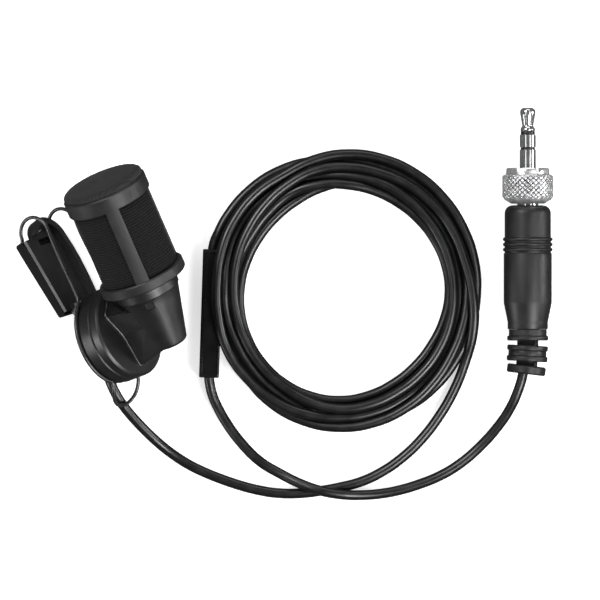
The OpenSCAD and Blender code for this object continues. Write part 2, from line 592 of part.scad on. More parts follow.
clip_base();
clip_jaw();
spring_wire();
base_cap();
cable_gland();
friction_washer();
swivel_hub();
retaining_ring();
elbow_body();
lead_wires();
capsule_holder();
capsule_can();
capsule_grille();
diaphragm();
backplate();
capsule_insulator();
preamp_board();
windscreen_cage();
windscreen_fabric();
foam_liner();
cable_mic_run();
cable_coil();
cable_coil_lead();
cable_sleeve();
cable_plug_run();
plug_body();
strain_relief();
shield_can();
cable_crimp();
plug_leads();
jack_sleeve();
jack_ring();
jack_tip();
front_insulator();
rear_insulator();
locking_nut();
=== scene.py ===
"""Lavalier microphone with its coiled cable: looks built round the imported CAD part.

Metres, in the frame of the CAD part. Lengths written in millimetres pass through MM or mm().
"""

import json
from math import atan2, cos, degrees, hypot, pi, radians, sin, sqrt

import bmesh
import bpy
import numpy as np
from mathutils import Matrix, Vector


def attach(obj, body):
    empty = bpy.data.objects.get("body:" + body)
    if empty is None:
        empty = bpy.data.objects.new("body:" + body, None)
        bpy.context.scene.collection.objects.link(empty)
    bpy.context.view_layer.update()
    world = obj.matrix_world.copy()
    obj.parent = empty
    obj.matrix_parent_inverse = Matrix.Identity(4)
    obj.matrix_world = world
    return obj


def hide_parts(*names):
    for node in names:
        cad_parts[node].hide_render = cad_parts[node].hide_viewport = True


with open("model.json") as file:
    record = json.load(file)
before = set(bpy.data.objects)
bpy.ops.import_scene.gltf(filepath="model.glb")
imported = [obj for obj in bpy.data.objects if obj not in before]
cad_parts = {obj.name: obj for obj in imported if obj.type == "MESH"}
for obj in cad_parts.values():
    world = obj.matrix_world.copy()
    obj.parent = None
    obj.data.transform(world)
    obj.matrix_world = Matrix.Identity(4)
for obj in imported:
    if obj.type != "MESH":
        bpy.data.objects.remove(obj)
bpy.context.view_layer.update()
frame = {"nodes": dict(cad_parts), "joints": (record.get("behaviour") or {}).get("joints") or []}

MM = 0.001
NODES = frame["nodes"]
JOINTS = {joint["name"]: joint for joint in frame["joints"]}


def mm(*numbers):
    return Vector(numbers) * MM


# ---------- frames of the CAD source, from the joints ----------

AXIS_HEIGHT = 14.35  # the microphone's axis above the swivel's centre, in mm
TONGUE_SLOPE = radians(13)
TONGUE_START = (0, 9, -4.7)


def placed(origin, x, z):
    """The matrix of a frame with that origin, X and Z."""
    y = z.cross(x)
    matrix = Matrix((x, y, z)).transposed().to_4x4()
    matrix.translation = origin
    return matrix


def axis_of(joint):
    return Vector(JOINTS[joint]["axis"]).normalized()


SWIVEL = Vector(JOINTS["head_swivel"]["pos_m"])
CLIP = placed(SWIVEL, axis_of("jaw_hinge"), axis_of("head_swivel"))
TONGUE = CLIP @ Matrix.Translation(mm(*TONGUE_START)) @ Matrix.Rotation(-TONGUE_SLOPE, 4, "X")
MIC_AXIS = axis_of("windscreen_pull")
MIC = placed(
    CLIP @ mm(0, 0, AXIS_HEIGHT), MIC_AXIS.cross(axis_of("head_swivel")).normalized(), MIC_AXIS
)
HEAD = placed(SWIVEL, MIC.col[0].xyz, axis_of("head_swivel"))
PLUG = placed(Vector(JOINTS["nut_spin"]["pos_m"]), Vector((1, 0, 0)), Vector((0, 1, 0)))

# ---------- camera ----------

VIEW_CENTRE = (0.04286, -0.00308)
VIEW_WIDTH = 0.12987
LENS = 1400
SENSOR = 36

camera_data = bpy.data.cameras.new("camera")
camera_data.lens = LENS
camera_data.sensor_width = SENSOR
camera = bpy.data.objects.new("camera", camera_data)
camera.location = (*VIEW_CENTRE, VIEW_WIDTH * LENS / SENSOR)
camera_data.clip_end = 10
bpy.context.scene.collection.objects.link(camera)
bpy.context.scene.camera = camera

# ---------- cable route, repeated from the CAD source, in mm ----------

CABLE_R = 1.1
MIC_RUN = [
    (1.2, -18.4, 10.1), (1.9, -20.8, 10), (3.1, -23.4, 9.5), (4.6, -25.8, 8.4), (6.6, -28.3, 6.7),
    (8.8, -30.7, 4.9), (11.9, -33.7, 2.8), (15.4, -36.5, 1.5), (19, -38.8, 1.1), (22.3, -40.4, 1.1),
    (25.5, -41.7, 1.1), (29.9, -43.2, 1.1), (34.2, -44.3, 1.1), (38.5, -44.9, 1.1), (42.9, -44.9, 1.1),
    (47.2, -44.4, 1.1), (51.5, -43.6, 1.1), (55.8, -42.5, 1.1), (60.2, -40.5, 1.1), (64.5, -37.6, 1.1),
    (68.8, -33.6, 1.1), (73.2, -27.9, 1.1), (76.2, -22.6, 1.1), (78.4, -17.1, 1.1),
]
COIL_LEAD = [(25, 11, 2.4), (24.5, 9.9, 2.3), (24.2, 8.9, 2.3), (24, 7.8, 2.3)]
PLUG_RUN = [
    (23.2, -20.1, 2.3), (23.4, -21.5, 2.1), (23.9, -23.6, 1.7), (25.3, -26.8, 1.2), (27.1, -29.9, 1.1),
    (29.9, -33.7, 1.1), (34.2, -38, 1.1), (38.5, -40.6, 1.5), (42.9, -42.8, 2.7), (47.2, -44.3, 3.5),
    (51.5, -45.1, 3.1), (55.8, -45.3, 2), (60.2, -45, 1.3), (64.5, -44.2, 1.1), (68.8, -42.9, 1.1),
    (73.2, -41.1, 1.1), (77.5, -38.5, 1.1), (81.8, -34.8, 1.5), (86.1, -29.9, 2.9), (88.3, -26.5, 4),
    (89.9, -23, 5), (91, -19.3, 5.5),
]
PLUG_END = (91.9, -12.5, 5.5)  # inside the strain relief

COIL_CENTRE = (52.3, -0.7)
SLEEVE_CENTRE = (23.6, -6)
SLEEVE_TURN = radians(-1.8)
SLEEVE_LENGTH = 27.8
SLEEVE_R = 2.3
# Each turn of the loose winding, every KNOT_ANGLE degrees from the right side: radius in mm, and level.
# A strand with a higher level lies on the lower ones that it crosses.
KNOT_ANGLE = 30
WINDING = [
    [(26.9, 6), (26.7, 6), (26.5, 6), (26.5, 6), (25.5, 6), (24.2, 6),
     (23.9, 5), (24.0, 5), (24.7, 5), (26.0, 5), (25.2, 4), (24.4, 3)],
    [(23.7, 3), (23.5, 3), (24.0, 3), (24.5, 3), (25.8, 2), (26.2, 2),
     (25.7, 2), (25.9, 1), (26.8, 1), (28.6, 1), (29.0, 1), (28.7, 1)],
    [(28.7, 2), (29.0, 3), (29.4, 3), (29.2, 3), (28.3, 4), (27.9, 5),
     (27.8, 5), (28.5, 5), (28.5, 4), (27.9, 2), (27.0, 1.5), (25.8, 1)],
    [(25.0, 1), (24.9, 1), (24.6, 0.5), (23.2, 0), (21.6, 0), (21.5, 0),
     (22.5, 0), (23.5, 1), (24.2, 2), (24.2, 2), (23.0, 2), (22.6, 2)],
    [(23.0, 2), (22.4, 2), (22.1, 2), (22.7, 2), (23.5, 2), (23.1, 2),
     (24.4, 0), (27.2, 0), (29.4, 1), (29.9, 3), (28.9, 4), (27.3, 4)],
    [(26.7, 3), (27.3, 1), (27.5, 1), (28.0, 1), (29.2, 1), (29.7, 1), (29.7, 1)],
]
FULL_TURNS = 5  # the coil also has the part of a turn from MIC_RUN's end round to COIL_LEAD's start
STEPS_PER_TURN = 72
KEPT_EVERY = 3  # one step in this many becomes a point of the cable
SETTLE_ROUNDS = 150
TOUCHING = 2 * CABLE_R + 0.01
COVERING = 2 * CABLE_R - 0.2  # neighbours this close hide the floor between them
FIRST_ARC, LAST_ARC = 40, 25  # degrees over which the coil's two ends leave its winding
ABOVE_SLEEVE = 3.5  # strands with a higher level start on top of the sleeve
INTO_SLEEVE = 30  # the coil's last degrees run into the sleeve, so they aren't held off it
# the share of each correction that one round makes
DRAWN_TOGETHER = 0.05
DRAWN_BACK = 0.35
EVENED_OUT = 0.6
PUSHED_ASIDE = 0.3
SINK = 0.01  # how far the strands sink in one round, in mm


def smooth_steps(values, at):
    """A smooth line through evenly spaced values, read at these fractional places."""
    v = np.array(values, float)
    i = np.clip(np.floor(at).astype(int), 0, len(v) - 2)
    f = at - i
    before, after = v[np.maximum(i - 1, 0)], v[np.minimum(i + 2, len(v) - 1)]
    a, b = v[i], v[i + 1]
    m0, m1 = (b - before) / 2, (after - a) / 2
    return (
        (2 * f**3 - 3 * f**2 + 1) * a + (f**3 - 2 * f**2 + f) * m0
        + (3 * f**2 - 2 * f**3) * b + (f**3 - f**2) * m1
    )


def polar(point):
    x, y = point[0] - COIL_CENTRE[0], point[1] - COIL_CENTRE[1]
    return degrees(atan2(y, x)), hypot(x, y)


def stacked(r, level):
    """Heights of the strands in every radial plane, each on the lower ones that it crosses."""
    z = np.full(len(r), CABLE_R)
    for plane in range(STEPS_PER_TURN):
        strands = sorted(range(plane, len(r), STEPS_PER_TURN), key=lambda i: level[i])
        for n, i in enumerate(strands):
            for j in strands[:n]:
                apart = abs(r[i] - r[j])
                if apart < TOUCHING:
                    z[i] = max(z[i], z[j] + sqrt(TOUCHING**2 - apart**2))
    return z


def laid_coil():
    """The coil's points: laid in turns, stacked where they cross, and eased until none overlap.

    Every turn has a point in the same radial planes, so strands only push others in that plane.
    """
    start_angle, start_r = polar(MIC_RUN[-1])
    end_angle, end_r = polar(COIL_LEAD[0])
    knots = [knot for turn in WINDING for knot in turn]
    angles = np.arange(start_angle, end_angle + 360 * FULL_TURNS + 1, 360 / STEPS_PER_TURN)
    at = np.maximum(angles / KNOT_ANGLE, 0)
    wanted = smooth_steps([knot[0] for knot in knots], at)
    level = smooth_steps([knot[1] for knot in knots], at)
    # both ends run smoothly into the cable's free runs
    lead_in = np.clip((angles - start_angle) / FIRST_ARC, 0, 1)
    lead_out = np.clip((angles[-1] - angles) / LAST_ARC, 0, 1)
    on_lead = np.minimum(lead_in, lead_out) < 1
    wanted = start_r * (1 - lead_in) + wanted * lead_in
    wanted = end_r * (1 - lead_out) + wanted * lead_out
    turn = np.radians(angles)
    x, y = COIL_CENTRE[0] + wanted * np.cos(turn), COIL_CENTRE[1] + wanted * np.sin(turn)
    over_sleeve = level > ABOVE_SLEEVE
    over_sleeve &= np.abs(y - SLEEVE_CENTRE[1]) < SLEEVE_LENGTH / 2 + 1
    over_sleeve &= x < SLEEVE_CENTRE[0] + SLEEVE_R + CABLE_R
    z = stacked(wanted, level)
    z = np.where(over_sleeve, np.maximum(z, 2 * SLEEVE_R + CABLE_R), z)
    z_start, z_end = MIC_RUN[-1][2], COIL_LEAD[0][2]
    r = wanted.copy()
    along = np.array([sin(-SLEEVE_TURN), cos(-SLEEVE_TURN)])
    planes = [range(plane, len(r), STEPS_PER_TURN) for plane in range(STEPS_PER_TURN)]
    for _ in range(SETTLE_ROUNDS):
        for plane in planes:
            inside_out = sorted((i for i in plane if not on_lead[i]), key=lambda i: r[i])
            for i, j in zip(inside_out, inside_out[1:]):
                slack = r[j] - r[i] - COVERING
                if slack > 0:
                    wanted[i] += slack * DRAWN_TOGETHER
                    wanted[j] -= slack * DRAWN_TOGETHER
        r += (wanted - r) * DRAWN_BACK
        for each in (r, z):
            each[1:-1] += EVENED_OUT * ((each[:-2] + each[2:]) / 2 - each[1:-1])
        z -= SINK
        for turns in range(1, FULL_TURNS + 1):
            gap = STEPS_PER_TURN * turns
            dr, dz = r[gap:] - r[:-gap], z[gap:] - z[:-gap]
            far = np.maximum(np.hypot(dr, dz), 1e-6)
            push = np.maximum(TOUCHING - far, 0) / 2
            r[gap:] += dr / far * push * PUSHED_ASIDE
            r[:-gap] -= dr / far * push * PUSHED_ASIDE
            z[gap:] += dz / far * push
            z[:-gap] -= dz / far * push
        # the hard sleeve lies under the outer strands
        x = COIL_CENTRE[0] + r * np.cos(turn) - SLEEVE_CENTRE[0]
        y = COIL_CENTRE[1] + r * np.sin(turn) - SLEEVE_CENTRE[1]
        beside = x * along[1] - y * along[0]
        near = np.abs(x * along[0] + y * along[1]) < SLEEVE_LENGTH / 2 + 0.5
        near &= angles < angles[-1] - INTO_SLEEVE
        far = np.maximum(np.hypot(beside, z - SLEEVE_R), 1e-6)
        push = np.where(near, np.maximum(SLEEVE_R + CABLE_R - far, 0), 0)
        z += (z - SLEEVE_R) / far * push
        r -= beside / far * push
        z = np.maximum(z, CABLE_R)
        r[0], z[0], r[-1], z[-1] = start_r, z_start, end_r, z_end
    x = COIL_CENTRE[0] + r * np.cos(turn)
    y = COIL_CENTRE[1] + r * np.sin(turn)
    return [tuple(p) for p in np.stack([x, y, z], 1)]


def add_piece(name, data, body, material, nodes=()):
    """Puts a mesh or a curve into the scene as a piece that rides on that body."""
    data.materials.append(material)
    piece = bpy.data.objects.new(name, data)
    bpy.context.scene.collection.objects.link(piece)
    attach(piece, body)
    if nodes:
        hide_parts(*nodes)
    return piece


def curve_piece(name, points, radius, body, material, nodes=(), cyclic=False, rounds=6):
    """A round cable or wire through these points, in metres."""
    data = bpy.data.curves.new(name, "CURVE")
    data.dimensions = "3D"
    data.bevel_depth = radius
    data.bevel_resolution = rounds
    data.resolution_u = 5
    data.use_fill_caps = True
    spline = data.splines.new("BEZIER")
    spline.bezier_points.add(len(points) - 1)
    for knot, point in zip(spline.bezier_points, points):
        knot.co = point
        knot.handle_left_type = knot.handle_right_type = "AUTO"
    spline.use_cyclic_u = cyclic
    spline.use_smooth = True
    return add_piece(name, data, body, material, nodes)


# ---------- materials ----------

MIX_COLOURS, MIX_RESULT = (6, 7), 2  # a Mix node's colour sockets
HANDLING = 0.25  # how much darker or paler patches of handling make moulded plastic


class Shader:
    """One node material, with short helpers for its nodes."""

    def __init__(self, name, colour, roughness, metallic=0.0, **sockets):
        self.material = bpy.data.materials.new(name)
        self.material.use_nodes = True
        self.tree = self.material.node_tree
        self.bsdf = self.tree.nodes["Principled BSDF"]
        self.bsdf.inputs["Base Color"].default_value = (*colour, 1)
        self.bsdf.inputs["Roughness"].default_value = roughness
        self.bsdf.inputs["Metallic"].default_value = metallic
        for socket, value in sockets.items():
            self.bsdf.inputs[socket.replace("_", " ")].default_value = value
        self.place = self.tree.nodes.new("ShaderNodeTexCoord").outputs["Object"]

    def node(self, kind, inputs=(), **settings):
        """A new node, with each input set to a value or linked to another node's output."""
        node = self.tree.nodes.new("ShaderNode" + kind)
        for name, value in settings.items():
            setattr(node, name, value)
        for name, value in dict(inputs).items():
            if isinstance(value, bpy.types.NodeSocket):
                self.tree.links.new(value, node.inputs[name])
            else:
                node.inputs[name].default_value = value
        return node

    def link(self, output, socket):
        self.tree.links.new(output, self.bsdf.inputs[socket])

    def noise(self, size_mm, detail):
        """Noise with features about that many millimetres across, from 0 to 1."""
        scale = 1 / (size_mm * MM)
        node = self.node("TexNoise", {"Vector": self.place, "Scale": scale, "Detail": detail})
        return node.outputs["Fac"]

    def spread(self, value, low, high, start=0.3, end=0.7):
        """The value's range from start to end, stretched to run from low to high."""
        node = self.node(
            "MapRange",
            {"Value": value, "From Min": start, "From Max": end, "To Min": low, "To Max": high},
        )
        return node.outputs["Result"]

    def mixed(self, factor, first, second):
        """A colour between two others, each a plain colour or another node's output."""
        node = self.node("Mix", {"Factor": factor}, data_type="RGBA")
        for index, value in zip(MIX_COLOURS, (first, second)):
            if isinstance(value, bpy.types.NodeSocket):
                self.tree.links.new(value, node.inputs[index])
            else:
                node.inputs[index].default_value = (*value, 1)
        return node.outputs[MIX_RESULT]

    def bump(self, height, depth_mm):
        inputs = {"Height": height, "Strength": 1.0, "Distance": depth_mm * MM}
        return self.node("Bump", inputs).outputs["Normal"]


def scaled(colour, factor):
    return tuple(min(1, c * factor) for c in colour)


def moulded(name, colour, roughness, grain_mm=0.12, grain_depth=0.01, worn=1.5, **sockets):
    """Moulded plastic or rubber: a fine grain, patches of handling, and edges worn times paler."""
    s = Shader(name, colour, roughness, **sockets)
    grain = s.noise(grain_mm, 3)
    patches = s.noise(4.0, 3)
    base = s.mixed(s.spread(patches, 0, 1), scaled(colour, 1 - HANDLING), scaled(colour, 1 + HANDLING))
    edge = s.node("NewGeometry").outputs["Pointiness"]
    base = s.mixed(s.spread(edge, 0, 0.6, 0.52, 0.62), base, scaled(colour, worn))
    s.link(base, "Base Color")
    s.link(s.spread(patches, roughness - 0.05, roughness + 0.06), "Roughness")
    s.link(s.bump(grain, grain_depth), "Normal")
    return s.material


def metal(name, colour, roughness, metallic=1.0, depth=0.002, groove_shade=None):
    """Plated or turned metal with a faint haze and fine turning marks; groove_shade, when given, is a
    painted shade colour for its grooves and hollows.
    """
    s = Shader(name, colour, roughness, metallic=metallic)
    haze = s.noise(1.6, 4)
    marks = s.noise(0.3, 4)
    base = s.mixed(s.spread(haze, 0, 1), scaled(colour, 0.86), colour)
    if groove_shade:
        # painted shade: hollow places, found by their pointiness, take the groove_shade colour in place
        # of the shade that falls in them
        edge = s.node("NewGeometry").outputs["Pointiness"]
        base = s.mixed(s.spread(edge, 0, 1, 0.43, 0.485), groove_shade, base)
    s.link(base, "Base Color")
    s.link(s.spread(haze, roughness * 0.7, roughness * 1.5), "Roughness")
    s.link(s.bump(marks, depth), "Normal")
    return s.material


def knit(name, colour):
    """Knitted fabric: tiny stitches, a soft sheen and a little lint. Its ribs are in the meshes."""
    s = Shader(name, colour, 0.8, Sheen_Weight=0.02, Sheen_Roughness=0.5, Specular_IOR_Level=0.35)
    stitch = s.node("TexVoronoi", {"Vector": s.place, "Scale": 1 / (0.28 * MM)}).outputs["Distance"]
    lint = s.noise(0.7, 4)
    s.link(s.mixed(s.spread(lint, 0, 1), scaled(colour, 0.7), scaled(colour, 1.4)), "Base Color")
    s.link(s.spread(lint, 0.75, 0.95), "Roughness")
    s.link(s.bump(stitch, 0.006), "Normal")
    return s.material


def cable_jacket(name, colour):
    """Extruded cable jacket: satin, with long faint ripples and dust."""
    s = Shader(name, colour, 0.33, Specular_IOR_Level=0.6)
    ripple = s.noise(2.5, 2)
    dust = s.noise(0.15, 3)
    s.link(s.mixed(s.spread(ripple, 0, 1), scaled(colour, 0.7), scaled(colour, 1.3)), "Base Color")
    s.link(s.spread(ripple, 0.28, 0.38), "Roughness")
    s.link(s.bump(dust, 0.001), "Normal")
    return s.material


SHELL = moulded("shell_plastic", (0.003, 0.003, 0.003), 0.42, worn=2.5, Specular_IOR_Level=0.75)
CAGE = moulded("cage_plastic", (0.0105, 0.0105, 0.0105), 0.48, grain_depth=0.014)
JAW = moulded(
    "jaw_plastic", (0.004, 0.004, 0.004), 0.62, grain_mm=0.25, grain_depth=0.08, worn=1,
    Specular_IOR_Level=0.15,
)
KNIT = knit("knit_fabric", (0.0025, 0.0025, 0.0027))
# the same knit as the tube, painted about six times paler on the dome: painted light in place of the
# light that falls on the top
KNIT_TOP_PAINTED_LIGHT = knit("knit_fabric_top_painted_light", (0.0155, 0.0155, 0.016))
FOAM = moulded("foam", (0.02, 0.02, 0.02), 0.9, grain_mm=0.35, grain_depth=0.12)
WIRE = moulded("black_wire", (0.014, 0.014, 0.014), 0.3, grain_depth=0, worn=1, Specular_IOR_Level=0.8)
JACKET = cable_jacket("cable_jacket", (0.004, 0.004, 0.004))
SLEEVE = moulded(
    "sleeve_plastic", (0.003, 0.003, 0.003), 0.3, grain_depth=0.004, Specular_IOR_Level=0.35
)
RUBBER = moulded("plug_rubber", (0.0065, 0.0065, 0.007), 0.42, grain_mm=0.16, grain_depth=0.025)
GLAND = moulded("gland_rubber", (0.012, 0.012, 0.012), 0.5)
BRIGHT = metal("bright_metal", (0.66, 0.66, 0.67), 0.13, metallic=0.92, depth=0.0005)
# the knurl's grooves are painted near black, a painted shade in the hollows between the diamonds
NUT_METAL = metal(
    "nut_metal", (0.9, 0.9, 0.91), 0.26, metallic=0.85, depth=0.0005, groove_shade=(0.05, 0.05, 0.05)
)
BLACK_RING = moulded("insulator_black", (0.01, 0.01, 0.01), 0.3)
BRASS = metal("brass", (0.72, 0.53, 0.27), 0.25)
STEEL = metal("steel", (0.55, 0.55, 0.56), 0.3)
CAPSULE_RUBBER = moulded("capsule_rubber", (0.015, 0.015, 0.015), 0.6)
FILM = metal("film", (0.85, 0.7, 0.35), 0.12)
BOARD = moulded("board", (0.02, 0.12, 0.05), 0.4)
WHITE_RING = moulded("ring_plastic", (0.75, 0.74, 0.7), 0.4)
LEAD = moulded("lead_plastic", (0.45, 0.04, 0.025), 0.4)

# ---------- the cable ----------

coil = laid_coil()
sleeve_run = [
    (SLEEVE_CENTRE[0] + t * sin(-SLEEVE_TURN), SLEEVE_CENTRE[1] + t * cos(-SLEEVE_TURN), SLEEVE_R)
    for t in (11, 6, 0, -6, -11)
]
route = MIC_RUN[:-1] + coil[::KEPT_EVERY] + COIL_LEAD + sleeve_run + PLUG_RUN + [PLUG_END]
cable = curve_piece(
    "cable", [mm(*p) for p in route], CABLE_R * MM, "root", JACKET,
    ["cable_mic_run", "cable_coil", "cable_coil_lead", "cable_plug_run"],
)

# ---------- carried-over CAD nodes ----------


def soften(node, width_mm, material):
    """Rounds a CAD node's edges by that much and shades it smoothly."""
    piece = NODES[node]
    mesh = piece.data
    for stale in ("custom_normal", "sharp_edge", "sharp_face"):
        if stale in mesh.attributes:
            mesh.attributes.remove(mesh.attributes[stale])
    mesh.shade_smooth()
    weld = piece.modifiers.new("weld", "WELD")
    weld.merge_threshold = 1e-7
    flat = piece.modifiers.new("flat", "DECIMATE")
    flat.decimate_type = "DISSOLVE"
    flat.angle_limit = radians(0.2)
    if width_mm:
        bevel = piece.modifiers.new("bevel", "BEVEL")
        bevel.width = width_mm * MM
        bevel.segments = 2
        bevel.limit_method = "ANGLE"
        bevel.angle_limit = radians(28)
        bevel.harden_normals = False
    normal = piece.modifiers.new("normal", "WEIGHTED_NORMAL")
    normal.keep_sharp = False
    mesh.materials.clear()
    mesh.materials.append(material)


# how far a node's edges are rounded, in mm, and its material
LOOKS = {
    "clip_base": (0.15, SHELL), "clip_jaw": (0.12, JAW), "base_cap": (0.15, SHELL),
    "cable_gland": (0.08, GLAND), "friction_washer": (0.03, STEEL), "swivel_hub": (0.05, BRASS),
    "retaining_ring": (0.03, STEEL), "elbow_body": (0.18, SHELL), "lead_wires": (0, LEAD),
    "capsule_holder": (0.08, CAPSULE_RUBBER), "capsule_can": (0.05, STEEL),
    "capsule_grille": (0.02, STEEL), "diaphragm": (0.02, FILM), "backplate": (0.02, BRASS),
    "capsule_insulator": (0.03, WHITE_RING), "preamp_board": (0.03, BOARD),
    "windscreen_cage": (0.12, CAGE), "foam_liner": (0.1, FOAM), "strain_relief": (0.08, RUBBER),
    "shield_can": (0.02, STEEL), "cable_crimp": (0.03, BRASS), "plug_leads": (0, LEAD),
    "jack_sleeve": (0.03, BRIGHT), "jack_ring": (0.03, BRIGHT), "jack_tip": (0, BRIGHT),
    "front_insulator": (0.02, BLACK_RING), "rear_insulator": (0.02, BLACK_RING),
}
for name, (width, look) in LOOKS.items():
    soften(name, width, look)

# ---------- detailed pieces ----------


def mesh_piece(name, points, faces, body, material, nodes=()):
    """A smooth-shaded mesh piece that rides on that body. Points are in metres."""
    mesh = bpy.data.meshes.new(name)
    mesh.from_pydata([tuple(p) for p in points], [], faces)
    bm = bmesh.new()
    bm.from_mesh(mesh)
    bmesh.ops.remove_doubles(bm, verts=bm.verts, dist=1e-7)
    bmesh.ops.recalc_face_normals(bm, faces=bm.faces)
    bm.to_mesh(mesh)
    bm.free()
    mesh.shade_smooth()
    return add_piece(name, mesh, body, material, nodes)


def wrapped(rows, columns):
    """Quads of a closed grid whose rows and columns both join round."""
    return [
        (i * columns + k, i * columns + (k + 1) % columns,
         (i + 1) % rows * columns + (k + 1) % columns, (i + 1) % rows * columns + k)
        for i in range(rows) for k in range(columns)
    ]


def lathed(outline, where, columns, shift=None):
    """Points and faces of a closed outline of (radius, height) in mm, turned about where's Z.

    shift(radius, height, angle) moves a point: it gives the new radius and height.
    """
    points = []
    for r, z in outline:
        for k in range(columns):
            a = 2 * pi * k / columns
            rr, zz = shift(r, z, a) if shift else (r, z)
            points.append(where @ mm(rr * cos(a), rr * sin(a), zz))
    return points, wrapped(len(outline), columns)


def sharpen(piece, degrees_apart):
    """Keeps edges sharper than that angle crisp under smooth shading."""
    bm = bmesh.new()
    bm.from_mesh(piece.data)
    for edge in bm.edges:
        if len(edge.link_faces) == 2 and edge.calc_face_angle(0) > radians(degrees_apart):
            edge.smooth = False
    bm.to_mesh(piece.data)
    bm.free()


# --- windscreen fabric: a ribbed knit tube and a stretched domed top

CAGE_LO, CAGE_HI = 8.8, 31.8
FABRIC_R, DOME_R = 8.6, 9.05
FABRIC_THICK = 0.5
RIB_PITCH, RIB_DEPTH = 0.6, 0.3
TUBE_LO, TUBE_HI = CAGE_LO + 1.7, CAGE_HI - 0.4
TUBE_COLUMNS = 120
ROWS_PER_RIB = 8


def fabric_tube():
    """The tube: ribs that run round it, a little slack between the cage's bars."""
    rows = round((TUBE_HI - TUBE_LO) / RIB_PITCH * ROWS_PER_RIB)
    outer = []
    for i in range(rows + 1):
        z = TUBE_LO + (TUBE_HI - TUBE_LO) * i / rows
        outer.append((FABRIC_R - RIB_DEPTH * (1 - abs(sin(pi * i / ROWS_PER_RIB))), z))
    inner = [(FABRIC_R - FABRIC_THICK, TUBE_HI), (FABRIC_R - FABRIC_THICK, TUBE_LO)]
    wave = np.random.default_rng(4).random(3) * 2 * pi

    def sag(r, z, a):
        slack = 0.05 * sin(3 * a + wave[0]) + 0.03 * sin(5 * a + z * 0.4 + wave[1])
        return r - 0.06 + slack, z + 0.05 * sin(2 * a + wave[2])

    points, faces = lathed(outer + inner, MIC, TUBE_COLUMNS, sag)
    mesh_piece(
        "windscreen_knit_tube", points, faces, "windscreen", KNIT, ["windscreen_fabric"]
    )


DOME_LO = CAGE_HI + 0.05
DOME_RISE = 1.9
CROWN_R = DOME_R - 1.5  # the edge is rounded beyond this
CROWN_RISE = 0.55
EDGE_LO = 0.35  # height of the edge's widest place above DOME_LO
EDGE_SWEEP = 125  # degrees from the crown round the edge, which is tucked in under itself
DOME_RINGS, DOME_COLUMNS = 64, 288
CROWN_SHARE = 0.72  # of the rings
TOP_RIB_PITCH = 0.62
TOP_RIB_TURN = radians(62)


def fabric_top():
    """The domed top: a knit disc whose straight ribs run over the edge."""
    outline = []
    for i in range(DOME_RINGS + 1):
        t = i / DOME_RINGS
        if t < CROWN_SHARE:
            x = t / CROWN_SHARE
            outline.append((CROWN_R * x, DOME_LO + DOME_RISE - CROWN_RISE * x * x))
        else:
            a = radians(90 - (t - CROWN_SHARE) / (1 - CROWN_SHARE) * EDGE_SWEEP)
            outline.append((
                CROWN_R + (DOME_R - CROWN_R) * cos(a),
                DOME_LO + EDGE_LO + (DOME_RISE - CROWN_RISE - EDGE_LO) * sin(a),
            ))
    outline.append((FABRIC_R - 0.25, DOME_LO - 0.55))
    outline.append((0.0, DOME_LO - 0.45))

    def ribs(r, z, a):
        if z < DOME_LO - 0.3:  # underneath
            return r, z
        wave = 0.5 + 0.5 * sin(2 * pi * r * cos(a - TOP_RIB_TURN) / TOP_RIB_PITCH)
        rim = min(1, r / CROWN_R)
        depth = (0.11 + 0.13 * rim**3) * wave
        lift = sqrt(1 - rim)
        inwards = depth * (1 - lift) if r > CROWN_R else 0
        return r - inwards, z - depth * (0.4 + 0.6 * lift)

    points, faces = lathed(outline, MIC, DOME_COLUMNS, ribs)
    return mesh_piece("windscreen_knit_top", points, faces, "windscreen", KNIT_TOP_PAINTED_LIGHT)


fabric_tube()
fabric_top()

# --- spring wire

WIRE_R = 0.4
RING_R, RING_Z = 10.62, -0.55
ARM_HALF, LOOP_Y, LOOP_Z, LOOP_R = 5, 26.2, -6.35, 3.85
PIVOT = (0, 16.4, -2.1)  # the jaw's pins in the tongue's frame


def spring_wire():
    """One bent wire: the cable loop, the ring round the disc, two arms, two tip loops and the pins.

    Its right half runs from the cable loop's middle to the right pin, in mm in the clip's frame.
    """
    _, pin_y, pin_z = CLIP.inverted() @ TONGUE @ mm(*PIVOT) / MM
    cable_loop = [
        (0, -14.8, -3.3), (1.5, -14.6, -3.2), (2.9, -14, -2.8), (3.9, -13, -2.1), (4.3, -11.9, -1.4),
        (4.5, -10.7, -0.8),
    ]
    ring = [(RING_R * cos(radians(a)), RING_R * sin(radians(a)), RING_Z) for a in range(-64, 55, 8)]
    arm = [(5.95, 9.6, -0.6), (5.6, 12, -0.9), (5.35, 16, -1.5), (5.2, 20, -2.05), (5.05, 24, -2.45)]
    tip_loop = [
        (ARM_HALF, LOOP_Y + LOOP_R * cos(radians(a)), LOOP_Z + LOOP_R * sin(radians(a)))
        for a in range(78, -91, -14)
    ]
    pin = [
        (ARM_HALF, pin_y + 0.9, pin_z - 0.1), (ARM_HALF - 0.1, pin_y + 0.35, pin_z),
        (ARM_HALF - 0.7, pin_y, pin_z), (2.7, pin_y, pin_z),
    ]
    right = cable_loop + ring + arm + tip_loop + pin
    left = [(-x, y, z) for x, y, z in right[:0:-1]]
    curve_piece(
        "spring_wire_bent", [CLIP @ mm(*p) for p in left + right], WIRE_R * MM, "root",
        WIRE, ["spring_wire"], rounds=4,
    )


spring_wire()

# --- hard sleeve on the cable

SLEEVE_HALF = 2.15  # half its width; SLEEVE_R leaves room under it
PANEL_DEPTH = 0.14
CORNER_STEPS = 5


def rounded_square(half, corner, steps):
    """The outline of a square with round corners, anticlockwise, as (x, y)."""
    return [
        (sx * (half - corner) + corner * cos(a), sy * (half - corner) + corner * sin(a))
        for quarter, (sx, sy) in enumerate(((1, 1), (-1, 1), (-1, -1), (1, -1)))
        for a in [radians(90 * quarter + 90 * k / steps) for k in range(steps + 1)]
    ]


